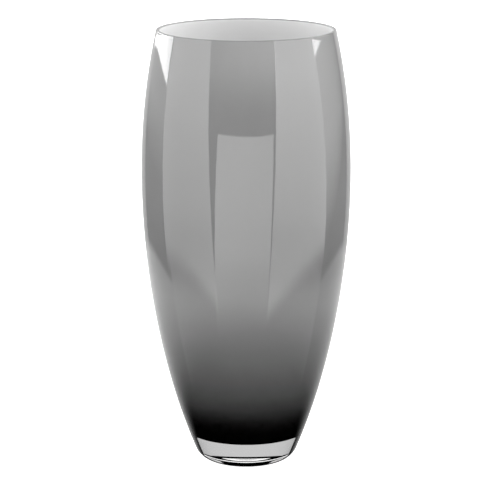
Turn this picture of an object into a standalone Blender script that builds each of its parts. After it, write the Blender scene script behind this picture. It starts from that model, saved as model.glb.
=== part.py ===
"""A blown glass vase made of three layers of glass, one inside the other.

The opal lining is the white bubble that holds the water. The smoke layer is grey glass around it, thin at
the mouth and thick at the bottom. The clear casing is the outer wall and the solid foot, one gather of glass.
Units are metres, +Z is up, and the origin is the centre of the face that the vase stands on.
"""

import math

import bmesh
import bpy
import numpy as np

HEIGHT = 0.380
STATION_HEIGHTS = (0.020, 0.090, 0.160, 0.230, 0.305, 0.380)
STATION_RADII = (0.0487, 0.0707, 0.0839, 0.0900, 0.0884, 0.0771)

HEEL_ROUND = 0.017
PUNT_RADIUS = 0.022
PUNT_DEPTH = 0.002

CASING_RIM_WALL = 0.0012
CASING_FOOT_WALL = 0.0034
CASING_FLOOR = 0.0255
CASING_CORNER = 0.0025

SMOKE_RIM_WALL = 0.0005
SMOKE_FOOT_WALL = 0.0024
SMOKE_FLOOR = 0.0030
SMOKE_CORNER = 0.0120

OPAL_WALL = 0.0007
OPAL_FLOOR = 0.0012
OPAL_CORNER = 0.0110

THICKEN_FROM = 0.200
THICKEN_TO = 0.030
LIP_ROUND = 0.0005
LAYER_GAP = 0.0003

TURN_STEPS = 48
LOWER_WALL_STEPS = 8
UPPER_WALL_STEPS = 5
CORNER_STEPS = 5
LIP_STEPS = 3
PUNT_STEPS = 4
SEAM_MERGE = 1e-6
SHARP_EDGE = math.radians(35)

# The outer side is the smooth curve of the lowest degree through the turned stations.
OUTER_CURVE = np.polynomial.Polynomial.fit(STATION_HEIGHTS, STATION_RADII, len(STATION_HEIGHTS) - 1)
FINE_HEIGHTS = np.linspace(STATION_HEIGHTS[0], HEIGHT, 2001)
WIDEST_HEIGHT = float(FINE_HEIGHTS[np.argmax(OUTER_CURVE(FINE_HEIGHTS))])


def clear_scene():
    for obj in list(bpy.data.objects):
        bpy.data.objects.remove(obj, do_unlink=True)


def wall_at(height, rim_wall, foot_wall):
    """Wall thickness, measured level: rim_wall above THICKEN_FROM, growing smoothly to foot_wall lower down."""
    share = np.clip((THICKEN_FROM - height) / (THICKEN_FROM - THICKEN_TO), 0.0, 1.0)
    return rim_wall + (foot_wall - rim_wall) * share * share * (3.0 - 2.0 * share)


def outer_side(height):
    return OUTER_CURVE(height)


def casing_inside(height):
    return outer_side(height) - wall_at(height, CASING_RIM_WALL, CASING_FOOT_WALL)


def smoke_outside(height):
    return casing_inside(height) - LAYER_GAP


def smoke_inside(height):
    return smoke_outside(height) - wall_at(height, SMOKE_RIM_WALL, SMOKE_FOOT_WALL)


def opal_outside(height):
    return smoke_inside(height) - LAYER_GAP


def opal_inside(height):
    return opal_outside(height) - OPAL_WALL


def corner_arc(side, floor, corner):
    """Points of the arc of radius corner that leaves the level floor and runs tangent into the side."""
    heights = np.linspace(floor, floor + 2.5 * corner, 400)
    radii = side(heights)
    slopes = np.gradient(radii, heights)
    lengths = np.hypot(1.0, slopes)
    centre_height = floor + corner
    touch = np.interp(centre_height, heights + corner * slopes / lengths, heights)
    slope = np.interp(touch, heights, slopes)
    centre_radius = float(side(touch)) - corner / math.hypot(1.0, slope)
    angles = np.linspace(-0.5 * math.pi, -math.atan(slope), CORNER_STEPS + 1)
    return [
        (centre_radius + corner * math.cos(angle), centre_height + corner * math.sin(angle))
        for angle in angles
    ]


def shell_side(side, floor, corner, top):
    """Half section of one surface of a layer, from the end of its flat floor, up the side, to the height top."""
    arc = corner_arc(side, floor, corner)
    lower = np.linspace(arc[-1][1], WIDEST_HEIGHT, LOWER_WALL_STEPS + 1)[1:]
    upper = np.linspace(WIDEST_HEIGHT, top, UPPER_WALL_STEPS + 1)[1:]
    return arc + [(float(side(height)), float(height)) for height in (*lower, *upper)]


def lip_arc(centre_radius, start_angle, end_angle):
    """Rounding of a layer's top edge, whose centre lies LIP_ROUND below the rim."""
    return [
        (centre_radius + LIP_ROUND * math.cos(angle), HEIGHT - LIP_ROUND + LIP_ROUND * math.sin(angle))
        for angle in np.linspace(start_angle, end_angle, LIP_STEPS + 1)
    ]


def turned(name, outline, material):
    """One closed solid: the outline of (radius, height) points, from axis to axis, turned about Z."""
    shape = bmesh.new()
    points = [shape.verts.new((radius, 0.0, height)) for radius, height in outline]
    edges = [shape.edges.new(pair) for pair in zip(points, points[1:])]
    bmesh.ops.spin(
        shape, geom=points + edges, cent=(0.0, 0.0, 0.0), axis=(0.0, 0.0, 1.0),
        angle=2.0 * math.pi, steps=TURN_STEPS, use_merge=True,
    )
    bmesh.ops.remove_doubles(shape, verts=shape.verts, dist=SEAM_MERGE)
    bmesh.ops.recalc_face_normals(shape, faces=shape.faces)
    mesh = bpy.data.meshes.new(name)
    shape.to_mesh(mesh)
    shape.free()
    mesh.shade_smooth()
    mesh.set_sharp_from_angle(angle=SHARP_EDGE)
    mesh.materials.append(material)
    obj = bpy.data.objects.new(name, mesh)
    bpy.context.scene.collection.objects.link(obj)
    return obj


def glass_material(name, colour, roughness, transmission):
    material = bpy.data.materials.new(name)
    material.use_nodes = True
    shader = material.node_tree.nodes["Principled BSDF"]
    shader.inputs["Base Color"].default_value = (*colour, 1.0)
    shader.inputs["Roughness"].default_value = roughness
    shader.inputs["Metallic"].default_value = 0.0
    shader.inputs["IOR"].default_value = 1.52
    shader.inputs["Transmission Weight"].default_value = transmission
    material.diffuse_color = (*colour, 1.0)
    return material


def clear_glass():
    return glass_material("clear_glass", (0.95, 0.96, 0.96), 0.02, 1.0)


def smoke_glass():
    return glass_material("smoke_glass", (0.22, 0.22, 0.22), 0.05, 0.6)


def opal_glass():
    return glass_material("opal_glass", (0.90, 0.90, 0.89), 0.12, 0.0)


def make_clear_casing():
    """The outer wall and the solid foot. The foot stands on a flat ring around a shallow punt."""
    inside = [(0.0, CASING_FLOOR)] + shell_side(casing_inside, CASING_FLOOR, CASING_CORNER, HEIGHT)
    outside = shell_side(outer_side, 0.0, HEEL_ROUND, HEIGHT - LIP_ROUND)
    lip = lip_arc(float(outer_side(HEIGHT - LIP_ROUND)) - LIP_ROUND, 0.5 * math.pi, 0.0)
    punt = [
        (PUNT_RADIUS * share, PUNT_DEPTH * (1.0 - share * share))
        for share in np.linspace(1.0, 0.0, PUNT_STEPS + 1)
    ]
    return turned("clear_casing", inside + lip[:-1] + outside[::-1] + punt, clear_glass())


def make_smoke_layer():
    """The grey layer, a closed bowl of its own between the casing and the lining."""
    floor = CASING_FLOOR + LAYER_GAP
    outside = [(0.0, floor)] + shell_side(smoke_outside, floor, CASING_CORNER - LAYER_GAP, HEIGHT)
    inside = [(0.0, floor + SMOKE_FLOOR)]
    inside += shell_side(smoke_inside, floor + SMOKE_FLOOR, SMOKE_CORNER, HEIGHT)
    return turned("smoke_layer", inside + outside[::-1], smoke_glass())


def make_opal_lining():
    """The white bubble on the inside, with a rounded lip where the rim meets the mouth."""
    floor = CASING_FLOOR + LAYER_GAP + SMOKE_FLOOR + LAYER_GAP
    outside = [(0.0, floor)] + shell_side(opal_outside, floor, SMOKE_CORNER - LAYER_GAP, HEIGHT)
    inside = [(0.0, floor + OPAL_FLOOR)]
    inside += shell_side(opal_inside, floor + OPAL_FLOOR, OPAL_CORNER, HEIGHT - LIP_ROUND)
    lip = lip_arc(float(opal_inside(HEIGHT - LIP_ROUND)) + LIP_ROUND, math.pi, 0.5 * math.pi)
    return turned("opal_lining", inside + lip[1:] + outside[::-1], opal_glass())


clear_scene()
make_clear_casing()
make_smoke_layer()
make_opal_lining()
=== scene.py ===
import math

import bpy
import numpy as np
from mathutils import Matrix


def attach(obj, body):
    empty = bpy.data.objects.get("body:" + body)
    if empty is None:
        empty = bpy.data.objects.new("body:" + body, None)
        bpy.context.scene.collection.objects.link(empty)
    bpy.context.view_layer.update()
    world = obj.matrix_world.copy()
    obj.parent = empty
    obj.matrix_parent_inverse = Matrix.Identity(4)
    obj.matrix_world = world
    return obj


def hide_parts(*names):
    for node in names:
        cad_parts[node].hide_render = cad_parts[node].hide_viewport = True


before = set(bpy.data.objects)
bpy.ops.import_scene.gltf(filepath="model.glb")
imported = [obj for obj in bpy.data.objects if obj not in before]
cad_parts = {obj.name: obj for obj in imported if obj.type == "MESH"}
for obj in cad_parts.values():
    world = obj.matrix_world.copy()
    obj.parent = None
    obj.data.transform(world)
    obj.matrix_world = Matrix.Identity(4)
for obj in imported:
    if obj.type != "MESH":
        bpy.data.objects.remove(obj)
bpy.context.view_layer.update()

# One closed curve of radius by height gives the outer side. The layers are measured inwards from it.
vaseShape = {
    "height": 0.380,
    "stationHeights": (0.020, 0.090, 0.160, 0.230, 0.305, 0.380),
    "stationRadii": (0.0487, 0.0707, 0.0839, 0.0900, 0.0884, 0.0771),
    "thickenFrom": 0.200,
    "thickenTo": 0.030,
    "around": 192,
    "arcSteps": 24,
    "wallSteps": 90,
    "floorSteps": 8,
    "sharpAngle": 40.0,
}
outerCurve = np.polynomial.Polynomial.fit(
    vaseShape["stationHeights"], vaseShape["stationRadii"], len(vaseShape["stationHeights"]) - 1
)


# Wall thickness by height: rimWall at the top, growing as a smoothstep to footWall below thickenTo.
def wallAt(height, rimWall, footWall):
    share = (vaseShape["thickenFrom"] - height) / (vaseShape["thickenFrom"] - vaseShape["thickenTo"])
    share = np.clip(share, 0.0, 1.0)
    return rimWall + (footWall - rimWall) * share * share * (3.0 - 2.0 * share)


# Radii and heights of one side: an arc of radius corner, tangent to the level floor and to the side,
# then the side itself up to top in equal steps.
def sideProfile(side, floor, corner, top, arcSteps, wallSteps):
    heights = np.linspace(floor, floor + 2.5 * corner, 600)  # fine enough to find where the arc touches
    radii = side(heights)
    slopes = np.gradient(radii, heights)
    lengths = np.hypot(1.0, slopes)
    touch = np.interp(floor + corner, heights + corner * slopes / lengths, heights)
    slope = np.interp(touch, heights, slopes)
    centreRadius = side(touch) - corner / math.hypot(1.0, slope)
    angles = np.linspace(-0.5 * math.pi, -math.atan(slope), arcSteps + 1)
    arcRadii = centreRadius + corner * np.cos(angles)
    arcHeights = floor + corner + corner * np.sin(angles)
    wallHeights = np.linspace(arcHeights[-1], top, wallSteps + 1)[1:]
    return np.stack([np.append(arcRadii, side(wallHeights)), np.append(arcHeights, wallHeights)], axis=1)


# Points of a circle of radius lip about (centreRadius, centreHeight), from one angle to another.
def lipProfile(centreRadius, centreHeight, lip, fromAngle, toAngle, steps=6):
    angles = np.linspace(fromAngle, toAngle, steps + 1)
    return np.stack([centreRadius + lip * np.cos(angles), centreHeight + lip * np.sin(angles)], axis=1)


# Level points from near the axis out to near a radius, so that a flat face has rings of its own.
def levelProfile(height, radius):
    radii = np.linspace(0.0, radius, vaseShape["floorSteps"] + 1)[1:-1]
    return np.stack([radii, np.full(radii.shape, height)], axis=1)


# Surface of revolution: ring i, step j is (r_i cos a_j, r_i sin a_j, z_i), with one point on the axis at
# each end.
def turnedPiece(name, startHeight, profile, endHeight, material):
    count, around = len(profile), vaseShape["around"]
    angles = np.arange(around) * (2.0 * math.pi / around)
    radii, heights = profile[:, :1], profile[:, 1:]
    rings = np.stack([
        radii * np.cos(angles), radii * np.sin(angles), np.broadcast_to(heights, (count, around)),
    ], axis=-1).reshape(-1, 3)
    points = np.concatenate([rings, [[0.0, 0.0, startHeight], [0.0, 0.0, endHeight]]])
    step = np.arange(around)
    following = (step + 1) % around
    ring = np.arange(count - 1)[:, None] * around
    above = ring + around
    quads = np.stack([ring + step, ring + following, above + following, above + step], axis=-1)
    last = (count - 1) * around
    startFan = np.stack([np.full(around, count * around), following, step], axis=-1)
    endFan = np.stack([np.full(around, count * around + 1), last + step, last + following], axis=-1)
    mesh = bpy.data.meshes.new(name)
    faces = quads.reshape(-1, 4).tolist() + startFan.tolist() + endFan.tolist()
    mesh.from_pydata(points.tolist(), [], faces)
    mesh.update()
    # A profile that runs up the inside and down the outside gives outward faces only one way round.
    flat = quads.reshape(-1, 4)
    triangles = np.concatenate([flat[:, [0, 1, 2]], flat[:, [0, 2, 3]], startFan, endFan])
    corners = points[triangles]
    volume = np.einsum("ij,ij->i", corners[:, 0], np.cross(corners[:, 1], corners[:, 2])).sum() / 6.0
    if volume < 0.0:
        mesh.flip_normals()
    mesh.shade_smooth()
    mesh.set_sharp_from_angle(angle=math.radians(vaseShape["sharpAngle"]))
    mesh.materials.append(material)
    piece = bpy.data.objects.new(name, mesh)
    bpy.context.scene.collection.objects.link(piece)
    print(name, len(triangles), "triangles,", round(abs(volume) * 1e6, 1), "ml of glass")
    return piece


# A node of one kind with its own settings.
def addNode(tree, kind, **values):
    node = tree.nodes.new(kind)
    for key, value in values.items():
        setattr(node, key, value)
    return node


# A link where source is an output, a plain value where it isn't.
def feed(tree, source, target):
    if hasattr(source, "is_output"):
        tree.links.new(source, target)
    else:
        target.default_value = source


def addMath(tree, operation, *inputs):
    node = addNode(tree, "ShaderNodeMath", operation=operation)
    for socket, value in zip(node.inputs, inputs):
        feed(tree, value, socket)
    return node.outputs[0]


def newMaterial(name):
    material = bpy.data.materials.new(name)
    material.use_nodes = True
    return material, material.node_tree, material.node_tree.nodes["Principled BSDF"]


# 0 up to fromMin, 1 from fromMax on, a smoothstep between.
def addSmoothstep(tree, value, fromMin, fromMax):
    node = addNode(tree, "ShaderNodeMapRange", interpolation_type="SMOOTHSTEP")
    for socket, item in zip(node.inputs, (value, fromMin, fromMax)):
        feed(tree, item, socket)
    return node.outputs[0]


# Height above the table of the point that is shaded.
def addHeight(tree):
    split = addNode(tree, "ShaderNodeSeparateXYZ")
    tree.links.new(addNode(tree, "ShaderNodeTexCoord").outputs["Object"], split.inputs[0])
    return split.outputs["Z"]


# A colour that turns to the rim's own colour between two heights.
def addRimColour(tree, colour, rimColour, fromHeight, toHeight):
    mix = addNode(tree, "ShaderNodeMix", data_type="RGBA")
    feed(tree, addSmoothstep(tree, addHeight(tree), fromHeight, toHeight), mix.inputs["Factor"])
    feed(tree, colour, mix.inputs["A"])
    feed(tree, (*rimColour, 1.0), mix.inputs["B"])
    return mix.outputs["Result"]


# The unevenness of a blown wall: noise in three octaves on the piece's own coordinates, with the height
# multiplied by Stretch, so that the waves lie along the turning.
def makeBlownWaves():
    group = bpy.data.node_groups.new("blownWaves", "ShaderNodeTree")
    group.interface.new_socket("Scale", in_out="INPUT", socket_type="NodeSocketFloat")
    group.interface.new_socket("Stretch", in_out="INPUT", socket_type="NodeSocketFloat")
    group.interface.new_socket("Waves", in_out="OUTPUT", socket_type="NodeSocketFloat")
    start = addNode(group, "NodeGroupInput")
    end = addNode(group, "NodeGroupOutput")
    place = addNode(group, "ShaderNodeTexCoord").outputs["Object"]
    split = addNode(group, "ShaderNodeSeparateXYZ")
    group.links.new(place, split.inputs[0])
    joined = addNode(group, "ShaderNodeCombineXYZ")
    group.links.new(split.outputs["X"], joined.inputs["X"])
    group.links.new(split.outputs["Y"], joined.inputs["Y"])
    stretched = addMath(group, "MULTIPLY", split.outputs["Z"], start.outputs["Stretch"])
    group.links.new(stretched, joined.inputs["Z"])
    noise = addNode(group, "ShaderNodeTexNoise", noise_dimensions="3D")
    noise.inputs["Detail"].default_value = 3.0
    noise.inputs["Roughness"].default_value = 0.45
    group.links.new(joined.outputs[0], noise.inputs["Vector"])
    group.links.new(start.outputs["Scale"], noise.inputs["Scale"])
    group.links.new(noise.outputs["Fac"], end.inputs["Waves"])
    return group


blownWaves = makeBlownWaves()


def addWaves(tree, scale, stretch):
    node = addNode(tree, "ShaderNodeGroup", node_tree=blownWaves)
    node.inputs["Scale"].default_value = scale
    node.inputs["Stretch"].default_value = stretch
    return node.outputs["Waves"]


def addBump(tree, shader, height, strength, distance):
    bump = addNode(tree, "ShaderNodeBump")
    bump.inputs["Strength"].default_value = strength
    bump.inputs["Distance"].default_value = distance
    tree.links.new(height, bump.inputs["Height"])
    tree.links.new(bump.outputs[0], shader.inputs["Normal"])


# Clear casing and foot: the wall grows from rimWall to footWall, and the foot is solid up to the floor.
clearCasing = {
    "rimWall": 0.0012,
    "footWall": 0.0034,
    "floor": 0.0255,
    "corner": 0.0025,
    "heel": 0.017,
    "lip": 0.0005,
    "puntRadius": 0.022,
    "puntDepth": 0.002,
    "tint": (0.990, 0.990, 0.990),
    "lipTint": (0.62, 0.62, 0.62),
    "lipFrom": 0.3794,
    "lipTo": 0.3797,
    "waveScale": 16.0,
    "waveStretch": 2.2,
    "waveStrength": 0.06,
    "waveDepth": 0.0006,
    "heelSteps": 28,
    "outerSteps": 110,
    "puntSteps": 12,
}


# Radius of the inside of the casing: the outer side less the wall.
def casingInside(height):
    return outerCurve(height) - wallAt(height, clearCasing["rimWall"], clearCasing["footWall"])


def makeClearGlass():
    material, tree, shader = newMaterial("clearGlass")
    # A breath of smoke glass runs over the lip.
    tint = (*clearCasing["tint"], 1.0)
    colour = addRimColour(tree, tint, clearCasing["lipTint"], clearCasing["lipFrom"], clearCasing["lipTo"])
    tree.links.new(colour, shader.inputs["Base Color"])
    shader.inputs["Roughness"].default_value = 0.0
    shader.inputs["IOR"].default_value = 1.52
    shader.inputs["Transmission Weight"].default_value = 1.0
    waves = addWaves(tree, clearCasing["waveScale"], clearCasing["waveStretch"])
    addBump(tree, shader, waves, clearCasing["waveStrength"], clearCasing["waveDepth"])
    return material


# Up the inside, over the rounded lip, down the outside, round the heel, and in across the standing ring
# and the punt, whose depth falls off as the square of its radius.
def makeCasing():
    top, lip, floor = vaseShape["height"], clearCasing["lip"], clearCasing["floor"]
    steps = vaseShape["arcSteps"], vaseShape["wallSteps"]
    inside = sideProfile(casingInside, floor, clearCasing["corner"], top, *steps)
    steps = clearCasing["heelSteps"], clearCasing["outerSteps"]
    outside = sideProfile(outerCurve, 0.0, clearCasing["heel"], top - lip, *steps)
    rim = lipProfile(outside[-1, 0] - lip, top - lip, lip, 0.5 * math.pi, 0.0)
    puntShare = np.linspace(1.0, 0.0, clearCasing["puntSteps"] + 1)[:-1]
    punt = np.stack([
        clearCasing["puntRadius"] * puntShare, clearCasing["puntDepth"] * (1.0 - puntShare ** 2),
    ], axis=1)
    profile = np.concatenate([levelProfile(floor, inside[0, 0]), inside, rim[:-1], outside[::-1], punt])
    return turnedPiece("clearCasing", floor, profile, clearCasing["puntDepth"], makeClearGlass())


# Smoke layer: tones are the greys of the glass by height in metres. Its outside laps a little into the
# casing, so that no air shows between the two.
smokeLayer = {
    "rimWall": 0.0005,
    "footWall": 0.0024,
    "floorWall": 0.0030,
    "corner": 0.0120,
    "casingGap": 0.0003,
    "overlap": 0.0001,
    "waveScale": 9.0,
    "waveStretch": 1.6,
    "waveDrift": 0.05,
    "tones": (
        (0.036, 0.000), (0.047, 0.008), (0.057, 0.046), (0.070, 0.084), (0.090, 0.150), (0.115, 0.208),
        (0.136, 0.268), (0.152, 0.308), (0.166, 0.304), (0.182, 0.240), (0.205, 0.264), (0.240, 0.312),
        (0.300, 0.330), (0.340, 0.356), (0.364, 0.388), (0.380, 0.366),
    ),
}


# Radius of the outside of the smoke layer: the inside of the casing plus the overlap.
def smokeOutside(height):
    return casingInside(height) + smokeLayer["overlap"]


# Radius of the inside of the smoke layer: the inside of the casing less the gap and the layer's own wall.
def smokeInside(height):
    wall = wallAt(height, smokeLayer["rimWall"], smokeLayer["footWall"])
    return casingInside(height) - smokeLayer["casingGap"] - wall


def makeSmokeGlass():
    material, tree, shader = newMaterial("smokeGlass")
    share = addMath(tree, "DIVIDE", addHeight(tree), vaseShape["height"])
    waves = addWaves(tree, smokeLayer["waveScale"], smokeLayer["waveStretch"])
    drift = addMath(tree, "MULTIPLY", addMath(tree, "SUBTRACT", waves, 0.5), smokeLayer["waveDrift"])
    tones = addNode(tree, "ShaderNodeValToRGB")
    tree.links.new(addMath(tree, "ADD", share, drift), tones.inputs[0])
    ramp = tones.color_ramp
    ramp.interpolation = "B_SPLINE"
    for index, (height, tone) in enumerate(smokeLayer["tones"]):
        position = height / vaseShape["height"]
        stop = ramp.elements[index] if index < 2 else ramp.elements.new(position)
        stop.position = position
        stop.color = (tone, tone, tone, 1.0)
    tree.links.new(tones.outputs["Color"], shader.inputs["Base Color"])
    shader.inputs["Roughness"].default_value = 1.0
    shader.inputs["Specular IOR Level"].default_value = 0.0
    return material


# Up the inside from its floor, level across the top, down the outside and in under the floor.
def makeSmoke():
    top = vaseShape["height"]
    steps = vaseShape["arcSteps"], vaseShape["wallSteps"]
    floor = clearCasing["floor"] - smokeLayer["overlap"]
    insideFloor = clearCasing["floor"] + smokeLayer["casingGap"] + smokeLayer["floorWall"]
    inside = sideProfile(smokeInside, insideFloor, smokeLayer["corner"], top, *steps)
    outside = sideProfile(smokeOutside, floor, clearCasing["corner"], top, *steps)
    profile = np.concatenate([
        levelProfile(insideFloor, inside[0, 0]), inside, outside[::-1],
        levelProfile(floor, outside[0, 0])[::-1],
    ])
    return turnedPiece("smokeLayer", insideFloor, profile, floor, makeSmokeGlass())


# Opal lining: the white bubble on the inside.
opalLining = {
    "wall": 0.0007,
    "floorWall": 0.0012,
    "corner": 0.0110,
    "smokeGap": 0.0003,
    "lip": 0.0005,
    "tone": (0.74, 0.74, 0.74),
    "rimTone": (0.30, 0.30, 0.30),
    "rimFrom": 0.3786,
    "rimTo": 0.3794,
    "cloudDepth": 0.03,
    "roughness": 0.45,
    "gloss": 0.35,
    "waveScale": 24.0,
    "waveStretch": 1.0,
    "waveStrength": 0.05,
    "waveDepth": 0.0005,
    "clearance": 0.00005,
}


# Radius of the outside of the lining: the inside of the smoke layer less a hair's breadth.
def opalOutside(height):
    return smokeInside(height) - opalLining["clearance"]


# Radius of the inside of the lining: the inside of the smoke layer less the gap and the lining's wall.
def opalInside(height):
    return smokeInside(height) - opalLining["smokeGap"] - opalLining["wall"]


def makeOpalGlass():
    material, tree, shader = newMaterial("opalGlass")
    waves = addWaves(tree, opalLining["waveScale"], opalLining["waveStretch"])
    cloud = addNode(tree, "ShaderNodeMix", data_type="RGBA")
    tree.links.new(waves, cloud.inputs["Factor"])
    tone = np.array(opalLining["tone"])
    cloud.inputs["A"].default_value = (*(tone * (1.0 - opalLining["cloudDepth"])), 1.0)
    cloud.inputs["B"].default_value = (*(tone * (1.0 + opalLining["cloudDepth"])), 1.0)
    # The smoke glass laps over the lip, so the lining turns grey there.
    colour = addRimColour(
        tree, cloud.outputs["Result"], opalLining["rimTone"], opalLining["rimFrom"], opalLining["rimTo"]
    )
    tree.links.new(colour, shader.inputs["Base Color"])
    shader.inputs["Roughness"].default_value = opalLining["roughness"]
    shader.inputs["Specular IOR Level"].default_value = opalLining["gloss"]
    addBump(tree, shader, waves, opalLining["waveStrength"], opalLining["waveDepth"])
    return material


# Up the inside from its floor, over the rounded inner lip, down the outside and in under the floor.
def makeOpal():
    top, lip = vaseShape["height"], opalLining["lip"]
    steps = vaseShape["arcSteps"], vaseShape["wallSteps"]
    smokeFloor = clearCasing["floor"] + smokeLayer["casingGap"] + smokeLayer["floorWall"]
    floor = smokeFloor + opalLining["clearance"]
    insideFloor = smokeFloor + opalLining["smokeGap"] + opalLining["floorWall"]
    inside = sideProfile(opalInside, insideFloor, opalLining["corner"], top - lip, *steps)
    outside = sideProfile(opalOutside, floor, smokeLayer["corner"], top, *steps)
    rim = lipProfile(inside[-1, 0] + lip, top - lip, lip, math.pi, 0.5 * math.pi)
    profile = np.concatenate([
        levelProfile(insideFloor, inside[0, 0]), inside, rim[1:], outside[::-1],
        levelProfile(floor, outside[0, 0])[::-1],
    ])
    return turnedPiece("opalLining", insideFloor, profile, floor, makeOpalGlass())


casing = makeCasing()
smoke = makeSmoke()
opal = makeOpal()
for piece, node, slot in (
    (casing, "clear_casing", "clear_glass"),
    (smoke, "smoke_layer", "smoke_glass"),
    (opal, "opal_lining", "opal_glass"),
):
    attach(piece, "root")
    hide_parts(node)
print("three layers of glass turned")

paleFloor = {"halfSize": 12.0, "paint": (0.9, 0.9, 0.9), "roughness": 0.9, "glow": 0.98}


# One level square that only the camera sees. The glass gets its light from the studio alone.
def makeFloor():
    half = paleFloor["halfSize"]
    corners = [(-half, -half, 0.0), (half, -half, 0.0), (half, half, 0.0), (-half, half, 0.0)]
    mesh = bpy.data.meshes.new("paleFloor")
    mesh.from_pydata(corners, [], [(0, 1, 2, 3)])
    material, _, shader = newMaterial("paleFloorPaint")
    shader.inputs["Base Color"].default_value = (*paleFloor["paint"], 1.0)
    shader.inputs["Roughness"].default_value = paleFloor["roughness"]
    shader.inputs["Emission Color"].default_value = (1.0, 1.0, 1.0, 1.0)
    shader.inputs["Emission Strength"].default_value = paleFloor["glow"]
    mesh.materials.append(material)
    floor = bpy.data.objects.new("paleFloor", mesh)
    bpy.context.scene.collection.objects.link(floor)
    floor.visible_glossy = False
    floor.visible_diffuse = False
    floor.visible_transmission = False


makeFloor()
print("floor laid")

# The studio: soft boxes, a front card, the far sweep and the table top, all far away, as light by direction.
# Angles are in degrees. Azimuth 0 is the front, azimuth 90 the right. A lean turns a side edge as it rises.
# The bottom and top edges each have an elevation, a slope and a bend along the azimuth. Drift changes the
# light across a box and up it, as far as the elevation that it ends with. Soft is the width of the side,
# bottom and top edges.
uprightBox = {"leans": (0.0, 0.0), "drift": (0.0, 0.0, 0.0)}  # what a box has where it says nothing else
studio = {
    "leftBox": {
        "sides": (-103.3, -42.0), "leans": (0.05, -0.2),
        "bottom": (-22.2, -0.145, -0.0015), "top": (25.0, 0.0, 0.0),
        "soft": (0.8, 4.5, 3.0), "light": 3.75, "drift": (0.016, 0.055, 3.0),
    },
    "frontCard": {
        "sides": (-30.8, 30.0), "leans": (0.25, 0.12),
        "bottom": (-26.4, 0.0, 0.0), "top": (-0.9, 0.0, 0.0),
        "soft": (0.6, 17.0, 0.5), "light": 4.2, "drift": (-0.008, 0.0, 0.0),
    },
    "rightBox": {
        "sides": (33.0, 94.5), "leans": (0.2, -0.33),
        "bottom": (-23.5, 0.17, -0.0006), "top": (24.0, 0.0, 0.0),
        "soft": (0.8, 4.5, 3.0), "light": 4.8, "drift": (-0.006, 0.08, 8.0),
    },
    "leftSweep": {
        "sides": (-147.0, -103.3), "leans": (0.0, 0.05),
        "bottom": (-17.6, -0.15, 0.0), "top": (4.0, 0.0, 0.0),
        "soft": (0.8, 1.5, 3.0), "light": 1.53, "drift": (0.012, 0.16, -3.0),
    },
    "rightSweep": {
        "sides": (94.5, 145.0), "leans": (-0.33, 0.0),
        "bottom": (-18.4, 0.16, 0.0), "top": (14.0, 0.0, 0.0),
        "soft": (0.8, 1.5, 3.0), "light": 2.4, "drift": (-0.062, 0.2, -4.5),
    },
    "backSweep": {
        "sides": (145.0, 213.0),
        "bottom": (-13.4, 0.0, -0.00132), "top": (18.0, 0.0, 0.0),
        "soft": (1.2, 1.2, 8.0), "light": 1.0, "drift": (0.0, 0.022, 0.0),
    },
    "backTable": {
        "sides": (100.0, 260.0),
        "bottom": (-27.5, 0.0, 0.0), "top": (-13.4, 0.0, -0.00132),
        "soft": (4.0, 15.0, 1.2), "light": 1.12, "drift": (0.0035, 0.0, 0.0),
    },
    "frontTable": {
        "sides": (-100.0, 100.0),
        "bottom": (-30.5, 0.0, 0.0), "top": (-20.0, 0.0, 0.0),
        "soft": (4.0, 13.0, 6.0), "light": 1.3, "drift": (-0.0015, 0.0, 0.0),
    },
    "backLeftBox": {
        "sides": (-155.0, -104.4),
        "bottom": (0.77, 0.0853, -0.00263), "top": (20.0, 0.0, 0.0),
        "soft": (0.8, 0.8, 3.0), "light": 10.0,
    },
    "backRightBox": {
        "sides": (94.5, 130.0), "leans": (-0.33, 0.0),
        "bottom": (6.3, -0.085, -0.003), "top": (30.0, 0.0, 0.0),
        "soft": (0.8, 0.8, 3.0), "light": 10.0,
    },
    "gapGlow": {
        "sides": (-44.0, 34.0), "leans": (0.0, 0.2),
        "bottom": (10.0, 0.0, 0.0), "top": (26.0, 0.0, 0.0),
        "soft": (1.0, 16.0, 10.0), "light": 2.6, "drift": (0.02, 0.0, 0.0),
    },
    "ceiling": {
        "sides": (-900.0, 900.0),
        "bottom": (26.0, 0.0, 0.0), "top": (95.0, 0.0, 0.0),
        "soft": (1.0, 14.0, 1.0), "light": 0.65,
    },
    "room": {
        "sides": (-900.0, 900.0),
        "bottom": (-20.0, 0.0, 0.0), "top": (95.0, 0.0, 0.0),
        "soft": (1.0, 4.0, 1.0), "light": 0.25,
    },
}
# What shows through the clear glass: a grey panel in front and behind, and a bright strip above it.
behind = {
    "nearPanel": {
        "sides": (-103.0, 103.0),
        "bottom": (-60.0, 0.0, 0.0), "top": (11.3, 0.0, 0.0048),
        "soft": (2.0, 2.0, 0.8), "light": 0.78,
    },
    "farPanel": {
        "sides": (127.0, 233.0),
        "bottom": (-60.0, 0.0, 0.0), "top": (11.3, 0.0, 0.0048),
        "soft": (2.0, 2.0, 0.8), "light": 0.78,
    },
    "farStrip": {
        "sides": (123.0, 237.0),
        "bottom": (16.9, 0.0, 0.0042), "top": (20.0, 0.0, 0.0042),
        "soft": (2.0, 0.8, 0.8), "light": 1.5,
    },
    "glowRight": {
        "sides": (123.0, 154.0),
        "bottom": (28.0, 0.0, 0.0), "top": (75.0, 0.0, 0.0),
        "soft": (3.0, 3.0, 3.0), "light": 1.0,
    },
    "glowLeft": {
        "sides": (206.0, 237.0),
        "bottom": (28.0, 0.0, 0.0), "top": (75.0, 0.0, 0.0),
        "soft": (3.0, 3.0, 3.0), "light": 1.0,
    },
}
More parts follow.
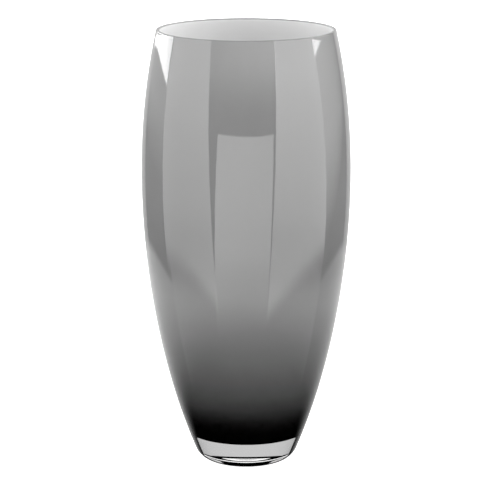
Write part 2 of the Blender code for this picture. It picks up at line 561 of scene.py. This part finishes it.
# The layers under the clear glass are lit evenly from all round, the inside of the mouth more from its sides.
softLight = {"layers": 2.15, "mouth": 1.1, "mouthSides": 3.2, "mouthRight": 0.33, "backdrop": 1.3}
boxSockets = (
    "Azimuth", "Elevation", "Left", "Right", "Left Lean", "Right Lean", "Bottom", "Bottom Slope",
    "Bottom Bend", "Top", "Top Slope", "Top Bend", "Side Soft", "Bottom Soft", "Top Soft", "Light",
    "Azimuth Drift", "Elevation Drift", "Drift End",
)
boxLimits = {"widestTurn": 352.0, "leastLight": 0.1}


# Light of one soft box: 1 between its two sides and its two ends, smoothed over soft degrees, times its
# own light.
def makeSoftBoxGroup():
    group = bpy.data.node_groups.new("softBox", "ShaderNodeTree")
    for name in boxSockets:
        group.interface.new_socket(name, in_out="INPUT", socket_type="NodeSocketFloat")
    group.interface.new_socket("Light", in_out="OUTPUT", socket_type="NodeSocketFloat")
    start = addNode(group, "NodeGroupInput").outputs
    end = addNode(group, "NodeGroupOutput")
    elevation = start["Elevation"]
    # A box that runs on past 180 degrees is reached from the other side too.
    farSide = addMath(group, "SUBTRACT", start["Right"], boxLimits["widestTurn"])
    wrapped = addMath(group, "LESS_THAN", start["Azimuth"], farSide)
    azimuth = addMath(group, "MULTIPLY_ADD", wrapped, 360.0, start["Azimuth"])

    def inside(distance, soft):
        share = addMath(group, "ADD", addMath(group, "DIVIDE", distance, soft), 0.5)
        return addSmoothstep(group, share, 0.0, 1.0)

    left = addMath(group, "MULTIPLY_ADD", elevation, start["Left Lean"], start["Left"])
    right = addMath(group, "MULTIPLY_ADD", elevation, start["Right Lean"], start["Right"])
    middle = addMath(group, "MULTIPLY", addMath(group, "ADD", left, right), 0.5)
    across = addMath(group, "SUBTRACT", azimuth, middle)

    def edge(name):
        rise = addMath(group, "MULTIPLY_ADD", across, start[name + " Bend"], start[name + " Slope"])
        return addMath(group, "MULTIPLY_ADD", across, rise, start[name])

    sides = addMath(
        group, "MULTIPLY",
        inside(addMath(group, "SUBTRACT", azimuth, left), start["Side Soft"]),
        inside(addMath(group, "SUBTRACT", right, azimuth), start["Side Soft"]),
    )
    ends = addMath(
        group, "MULTIPLY",
        inside(addMath(group, "SUBTRACT", elevation, edge("Bottom")), start["Bottom Soft"]),
        inside(addMath(group, "SUBTRACT", edge("Top"), elevation), start["Top Soft"]),
    )
    low = addMath(group, "MINIMUM", elevation, start["Drift End"])
    light = addMath(group, "MULTIPLY_ADD", low, start["Elevation Drift"], start["Light"])
    light = addMath(group, "MULTIPLY_ADD", across, start["Azimuth Drift"], light)
    light = addMath(group, "MAXIMUM", light, boxLimits["leastLight"])
    mask = addMath(group, "MULTIPLY", sides, ends)
    group.links.new(addMath(group, "MULTIPLY", mask, light), end.inputs["Light"])
    return group


# The value no where factor is 0, yes where it is 1.
def addChoice(tree, factor, no, yes):
    node = addNode(tree, "ShaderNodeMix", data_type="FLOAT")
    for socket, value in zip((node.inputs["Factor"], node.inputs["A"], node.inputs["B"]), (factor, no, yes)):
        feed(tree, value, socket)
    return node.outputs["Result"]


# All the boxes of one dictionary added up.
def addBoxes(tree, softBox, boxes, azimuth, elevation):
    total = 0.0
    for name, ownValues in boxes.items():
        box = {**uprightBox, **ownValues}
        node = addNode(tree, "ShaderNodeGroup", node_tree=softBox, label=name)
        values = (
            azimuth, elevation, *box["sides"], *box["leans"], *box["bottom"], *box["top"], *box["soft"],
            box["light"], *box["drift"],
        )
        for socket, value in zip(node.inputs, values):
            feed(tree, value, socket)
        total = addMath(tree, "ADD", total, node.outputs[0])
    return total


# Four lights by direction: what the glass mirrors, what shows through it, what the layers and the mouth
# get, and the pale backdrop that the camera sees.
def makeStudio():
    world = bpy.data.worlds.new("softStudio")
    world.use_nodes = True
    world.cycles.sampling_method = "NONE"  # every ray that leaves the glass finds the light itself
    bpy.context.scene.world = world
    tree = world.node_tree
    tree.nodes.clear()
    softBox = makeSoftBoxGroup()
    split = addNode(tree, "ShaderNodeSeparateXYZ")
    tree.links.new(addNode(tree, "ShaderNodeTexCoord").outputs["Generated"], split.inputs[0])
    turn = addMath(tree, "ARCTAN2", split.outputs["X"], addMath(tree, "MULTIPLY", split.outputs["Y"], -1.0))
    azimuth = addMath(tree, "DEGREES", turn)
    elevation = addMath(tree, "DEGREES", addMath(tree, "ARCSINE", split.outputs["Z"]))
    mirrored = addBoxes(tree, softBox, studio, azimuth, elevation)
    seenThrough = addBoxes(tree, softBox, behind, azimuth, elevation)
    sideways = addMath(tree, "MULTIPLY", split.outputs["X"], split.outputs["X"])
    mouth = addMath(tree, "MULTIPLY_ADD", sideways, softLight["mouthSides"], softLight["mouth"])
    mouth = addMath(tree, "MULTIPLY_ADD", split.outputs["X"], softLight["mouthRight"], mouth)
    path = addNode(tree, "ShaderNodeLightPath").outputs
    soft = addChoice(tree, path["Is Transmission Ray"], mouth, softLight["layers"])
    strength = addChoice(tree, path["Is Transmission Ray"], mirrored, seenThrough)
    strength = addChoice(tree, addMath(tree, "GREATER_THAN", path["Diffuse Depth"], 0.5), strength, soft)
    strength = addChoice(tree, path["Is Camera Ray"], strength, softLight["backdrop"])
    background = addNode(tree, "ShaderNodeBackground")
    feed(tree, strength, background.inputs["Strength"])
    output = addNode(tree, "ShaderNodeOutputWorld")
    tree.links.new(background.outputs[0], output.inputs["Surface"])


makeStudio()
print("studio lit")

cameraPlace = {
    "location": (0.0, -2.09, 0.6502),
    "pitch": 12.2664,  # degrees below level
    "lens": 177.18,
    "sensor": 36.0,
    "shift": (0.0076, 0.0),
}
cameraData = bpy.data.cameras.new("camera")
cameraData.lens = cameraPlace["lens"]
cameraData.sensor_width = cameraPlace["sensor"]
cameraData.shift_x, cameraData.shift_y = cameraPlace["shift"]
camera = bpy.data.objects.new("camera", cameraData)
camera.location = cameraPlace["location"]
camera.rotation_euler = (math.radians(90.0 - cameraPlace["pitch"]), 0.0, 0.0)
bpy.context.scene.collection.objects.link(camera)
bpy.context.scene.camera = camera

scene = bpy.context.scene
scene.view_settings.view_transform = "Standard"
scene.view_settings.look = "None"
scene.cycles.max_bounces = 24
scene.cycles.transmission_bounces = 16
scene.cycles.glossy_bounces = 12
scene.cycles.diffuse_bounces = 6
scene.cycles.sample_clamp_indirect = 10.0
print("camera placed")
